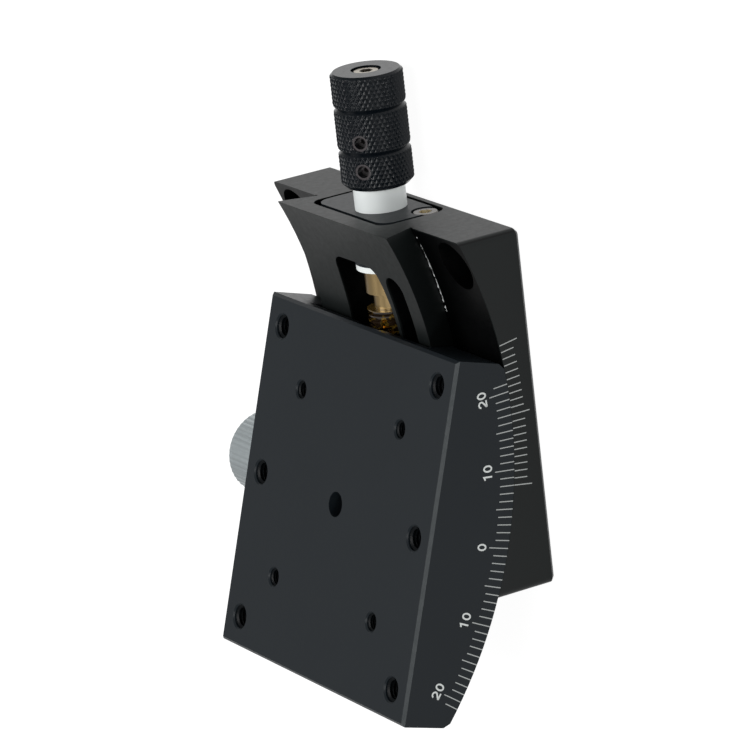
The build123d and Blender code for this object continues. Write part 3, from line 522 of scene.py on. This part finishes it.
def knob_limit(station):
    """Radius that the knob's chamfers and grooves leave at a station."""
    limit = KNOB_RADIUS
    limit = min(limit, KNOB_RADIUS - KNOB_BOTTOM_CHAMFER + (station - KNOB_BOTTOM))
    limit = min(limit, KNOB_RADIUS - KNOB_TOP_CHAMFER + (KNOB_TOP - station))
    for groove in KNOB_GROOVES:
        limit = min(limit, KNOB_RADIUS - KNOB_GROOVE_HALF + abs(station - groove))
    return limit


def diamond(station, turn, radius):
    """Radius of the diamond knurl, cut off by chamfers and grooves."""
    around = turn * KNURL_COUNT / (2 * math.pi)
    along = station / KNURL_LEAD
    height = min(1.0, KNURL_TOP * min(vee(around + along), vee(around - along)))
    return min(radius, KNOB_RADIUS - KNURL_DEPTH * (1 - height))


def knob_rows():
    """Stations of the knurled skin, then the top bore and the shaft's bore."""
    count = round((KNOB_TOP - KNOB_BOTTOM) / KNURL_ROW)
    stations = [KNOB_BOTTOM + (KNOB_TOP - KNOB_BOTTOM) * k / count for k in range(count + 1)]
    rows = [(s, knob_limit(s), True) for s in stations]
    floor = KNOB_TOP - TOP_BORE_DEPTH
    rows += [(KNOB_TOP, TOP_BORE_RADIUS, False), (floor, TOP_BORE_RADIUS, False)]
    rows += [(floor, SHAFT_RADIUS, False), (KNOB_BOTTOM, SHAFT_RADIUS, False)]
    return rows


def rod_mesh(radius, inner, outer, station):
    """Round cutter across the knob, along its set screws' direction."""
    cross = GRUB_WAY.cross(X_WAY)
    at = WORM_AXIS + X_WAY * station
    columns = CUTTER_COLUMNS
    points = []
    for reach in (inner, outer):
        for k in range(columns):
            angle = 2 * math.pi * k / columns
            points.append(at + GRUB_WAY * reach + (X_WAY * math.cos(angle) + cross * math.sin(angle)) * radius)
    faces = [list(range(columns)), list(range(2 * columns - 1, columns - 1, -1))]
    for k in range(columns):
        after = (k + 1) % columns
        faces.append([k, after, columns + after, columns + k])
    return mesh_of("cutter", points, faces)


def cut(mesh, cutters):
    """A mesh with the cutters taken out of it."""
    body = bpy.data.objects.new("cut_draft", mesh)
    bpy.context.scene.collection.objects.link(body)
    tools = []
    for cutter in cutters:
        tool = bpy.data.objects.new("cutter", cutter)
        bpy.context.scene.collection.objects.link(tool)
        tools.append(tool)
        modifier = body.modifiers.new("cut", "BOOLEAN")
        modifier.operation = "DIFFERENCE"
        modifier.solver = "EXACT"
        modifier.object = tool
    bpy.context.view_layer.update()
    result = bpy.data.meshes.new_from_object(body.evaluated_get(bpy.context.evaluated_depsgraph_get()))
    for draft in [body, *tools]:
        bpy.data.objects.remove(draft)
    return result


def on_spot_face(polygon):
    """Whether a face of the knob is one of the set screws' spot faces."""
    height = (polygon.center - WORM_AXIS).dot(GRUB_WAY)
    facing = polygon.normal.dot(GRUB_WAY) > SPOT_FACING
    return facing and abs(height - KNOB_RADIUS + SPOT_DEPTH) < SPOT_SLACK


knob_skin = lathe("knob_knurled", knob_rows(), KNURL_COLUMNS, diamond, WORM_AXIS, X_WAY, Y_WAY, Z_WAY)
cutters = []
for station in GRUB_STATIONS:
    cutters.append(rod_mesh(GRUB_RADIUS, GRUB_FLOOR, GRUB_OUTSIDE, station))
    cutters.append(rod_mesh(SPOT_RADIUS, KNOB_RADIUS - SPOT_DEPTH, GRUB_OUTSIDE, station))
knob = add("knob_knurled", cut(knob_skin, cutters), BLACK_KNURL, "drive")
# The spot faces take the lighter grey: painted highlight
dress_faces(knob, SPOT_FACE_HIGHLIGHT, on_spot_face)
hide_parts("knob")

LOCK_HEAD_RADIUS = 7.3 * MM
LOCK_NECK_RADIUS = 4.2 * MM
LOCK_STUD_RADIUS = 1.97 * MM
LOCK_NECK_START = 30.5 * MM
LOCK_HEAD_START = 36.8 * MM
LOCK_HEAD_END = 45.2 * MM
LOCK_STUD_END = 43.8 * MM
LOCK_CHAMFER = 0.7 * MM
LOCK_RIBS = 46
LOCK_RIB_DEPTH = 0.09 * MM
LOCK_RIB_TOP = 1.25           # above 1, the ribs get flat tops
LOCK_COLUMNS = LOCK_RIBS * 8
LOCK_POINT = 0.01 * MM        # radius of the last rows, which close the end
LOCK_ARC_RADIUS = 72.2 * MM


def ribbed(station, turn, radius):
    """Radius of the straight knurl."""
    height = min(1.0, LOCK_RIB_TOP * vee(turn * LOCK_RIBS / (2 * math.pi)))
    return min(radius, LOCK_HEAD_RADIUS - LOCK_RIB_DEPTH * (1 - height))


def lock_rows():
    """Stations of the clamp knob from its neck round to its bore."""
    edge = LOCK_HEAD_RADIUS - LOCK_CHAMFER
    ribs_start = LOCK_HEAD_START + LOCK_CHAMFER
    ribs_end = LOCK_HEAD_END - LOCK_CHAMFER
    return [
        (LOCK_NECK_START, LOCK_NECK_RADIUS, False),
        (LOCK_HEAD_START, LOCK_NECK_RADIUS, False),
        (LOCK_HEAD_START, edge, False),
        (ribs_start - LOCK_RIB_DEPTH, LOCK_HEAD_RADIUS - LOCK_RIB_DEPTH, True),
        (ribs_start, LOCK_HEAD_RADIUS, True),
        (ribs_end, LOCK_HEAD_RADIUS, True),
        (ribs_end + LOCK_RIB_DEPTH, LOCK_HEAD_RADIUS - LOCK_RIB_DEPTH, True),
        (LOCK_HEAD_END, edge, False),
        (LOCK_HEAD_END, LOCK_POINT, False),
        (LOCK_STUD_END, LOCK_POINT, False),
        (LOCK_STUD_END, LOCK_STUD_RADIUS, False),
        (LOCK_NECK_START, LOCK_STUD_RADIUS, False),
    ]


lock_x, lock_z = on_side(LOCK_ARC_RADIUS, -REST_TILT)
lock_axis = Vector((lock_x, 0, lock_z))
lock_skin = lathe("lock_knob_knurled", lock_rows(), LOCK_COLUMNS, ribbed, lock_axis, Y_WAY, Z_WAY, X_WAY)
lock = add("lock_knob_knurled", lock_skin, GREY_METAL, "clamp_screw")
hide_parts("lock_knob")


# Threads in the platform's tapped holes

tilt = Matrix.Translation((0, 0, AXIS_HEIGHT))
tilt = tilt @ Matrix.Rotation(math.radians(REST_TILT), 4, "Y") @ Matrix.Translation((0, 0, -AXIS_HEIGHT))
PLATFORM_HEIGHT = 20 * MM
THREAD_STEPS = 28             # per turn
THREAD_LEAD_IN = 0.35 * MM
THREAD_HEIGHT = 0.6           # ridge, as a share of the pitch
THREAD_FOOT = 0.42            # half the ridge's foot and crest, likewise
THREAD_CREST = 0.08


def thread_ridge(radius, pitch, depth, x, y):
    """Points and faces of an internal thread's ridge, from the mouth down."""
    crest = radius - THREAD_HEIGHT * pitch
    section = ((radius, THREAD_FOOT), (crest, THREAD_CREST), (crest, -THREAD_CREST), (radius, -THREAD_FOOT))
    turns = (depth - pitch) / pitch
    count = int(turns * THREAD_STEPS)
    points = []
    faces = []
    for k in range(count + 1):
        turn = 2 * math.pi * k / THREAD_STEPS
        middle = PLATFORM_HEIGHT - THREAD_LEAD_IN - pitch * k / THREAD_STEPS - THREAD_FOOT * pitch
        for reach, rise in section:
            px = x + reach * math.cos(turn)
            py = y + reach * math.sin(turn)
            points.append(tilt @ Vector((px, py, middle + rise * pitch)))
        if k:
            base = 4 * k
            for j in range(3):
                faces.append((base - 4 + j, base + j, base + j + 1, base - 3 + j))
    return points, faces


def threads(name, holes, radius, pitch, depth):
    """All the threads of one size, as one piece."""
    points = []
    faces = []
    for x, y in holes:
        more, rings = thread_ridge(radius, pitch, depth, x, y)
        first = len(points)
        points += more
        faces += [tuple(first + i for i in ring) for ring in rings]
    # The threads take the darker black: painted shade in the holes
    add(name, mesh_of(name, points, faces), THREAD_SHADE_BLACK, "stage")


M4_HALF = 25 * MM             # half the holes' spacing
M3_HALF = 16 * MM
CORNERS = [(i, j) for i in (-1, 1) for j in (-1, 1)]
m4_holes = [(i * M4_HALF, j * M4_HALF) for i, j in CORNERS + [(0, -1), (0, 1)]]
m3_holes = [(i * M3_HALF, j * M3_HALF) for i, j in CORNERS]
threads("m4_threads", m4_holes, radius=2.0 * MM, pitch=0.7 * MM, depth=7.4 * MM)
threads("m3_threads", m3_holes, radius=1.5 * MM, pitch=0.5 * MM, depth=5.0 * MM)


# Specks of grease in the relief along the rail's root, on the scale's side

BEAD_Y = -15.3 * MM           # middle of the relief
BEAD_FLOOR = ARC_RADIUS + 0.2 * MM
BEAD_ANGLES = (10.6, 22.9)
BEAD_THICKEST = 13.5          # angle where most of them lie
BEAD_SIZES = (0.05, 0.27, 0.09)   # least, most and commonest radius, in millimetres
BEAD_SPREAD = 0.2 * MM        # each side of the relief's middle
BEAD_STRETCH = (1, 1.9)
BEAD_FLATNESS = 0.6
BEAD_SUNK = 0.2               # share of a speck's radius below the floor
BEAD_COUNT = 120
BEAD_SEED = 7


def beads(count):
    """Small flattened drops along the relief's floor."""
    chance = random.Random(BEAD_SEED)
    work = bmesh.new()
    for _ in range(count):
        size = chance.triangular(*BEAD_SIZES) * MM
        x, z = on_side(BEAD_FLOOR - BEAD_SUNK * size, chance.triangular(*BEAD_ANGLES, BEAD_THICKEST))
        spot = Matrix.Translation((x, BEAD_Y + chance.uniform(-BEAD_SPREAD, BEAD_SPREAD), z))
        drop = Matrix.Diagonal((size * chance.uniform(*BEAD_STRETCH), size, BEAD_FLATNESS * size, 1))
        bmesh.ops.create_icosphere(work, subdivisions=2, radius=1.0, matrix=spot @ drop)
    mesh = bpy.data.meshes.new("grease_specks")
    work.to_mesh(mesh)
    work.free()
    for polygon in mesh.polygons:
        polygon.use_smooth = True
    return mesh


add("grease_specks", beads(BEAD_COUNT), GREASE, "base")


# Studio

def glow(name, grey, strength):
    """A dull grey that also gives off white light."""
    material, _, principled = shader(name)
    principled.inputs["Base Color"].default_value = (grey, grey, grey, 1)
    principled.inputs["Roughness"].default_value = 0.9
    principled.inputs["Specular IOR Level"].default_value = 0.0
    principled.inputs["Emission Color"].default_value = (1, 1, 1, 1)
    principled.inputs["Emission Strength"].default_value = strength
    return material


FLOOR_HALF = 4.0
floor_corners = [(i * FLOOR_HALF, j * FLOOR_HALF, 0) for i, j in ((-1, -1), (1, -1), (1, 1), (-1, 1))]
floor_mesh = mesh_of("floor", floor_corners, [(0, 1, 2, 3)])
floor = bpy.data.objects.new("floor", floor_mesh)
bpy.context.scene.collection.objects.link(floor)
dress(floor, glow("pale_floor", 0.13, 0.94))


LAMP_TARGET = Vector((0, 0, 0.015))


def lamp(name, place, size, power):
    """A square soft light that looks at the object."""
    light = bpy.data.lights.new(name, "AREA")
    light.shape = "SQUARE"
    light.size = size
    light.energy = power
    holder = bpy.data.objects.new(name, light)
    bpy.context.scene.collection.objects.link(holder)
    holder.location = place
    holder.rotation_euler = (LAMP_TARGET - holder.location).to_track_quat("-Z", "Y").to_euler()


lamp("key", (0.25, 0.2, 1.0), size=0.6, power=8)
lamp("front", (0.12, -0.55, 0.87), size=0.45, power=3.5)
lamp("strip", (-0.2, -0.9, 0.43), size=0.14, power=2.5)
world = bpy.data.worlds.new("studio")
world.use_nodes = True
sky = world.node_tree.nodes["Background"]
sky.inputs["Color"].default_value = (1, 1, 1, 1)
sky.inputs["Strength"].default_value = 0.47
bpy.context.scene.world = world
bpy.context.scene.view_settings.view_transform = "Standard"

# Camera, on the photograph's side with the worm shaft pointing up the picture
CAMERA_AT = Vector((0.260897, -0.744221, 0.422343))
CAMERA_RIGHT = Vector((-0.1088417, -0.5083007, -0.8542739))
CAMERA_UP = Vector((0.9504519, 0.1985294, -0.2392224))
FOCAL_PIXELS = 5410.56
PICTURE_PIXELS = 750
SENSOR_WIDTH = 36             # millimetres
view = bpy.data.cameras.new("camera")
view.sensor_width = SENSOR_WIDTH
view.lens = FOCAL_PIXELS * SENSOR_WIDTH / PICTURE_PIXELS
view.clip_start = 0.05
view.clip_end = 20
camera = bpy.data.objects.new("camera", view)
bpy.context.scene.collection.objects.link(camera)
pose = Matrix((CAMERA_RIGHT, CAMERA_UP, CAMERA_RIGHT.cross(CAMERA_UP))).transposed().to_4x4()
pose.translation = CAMERA_AT
camera.matrix_world = pose
bpy.context.scene.camera = camera
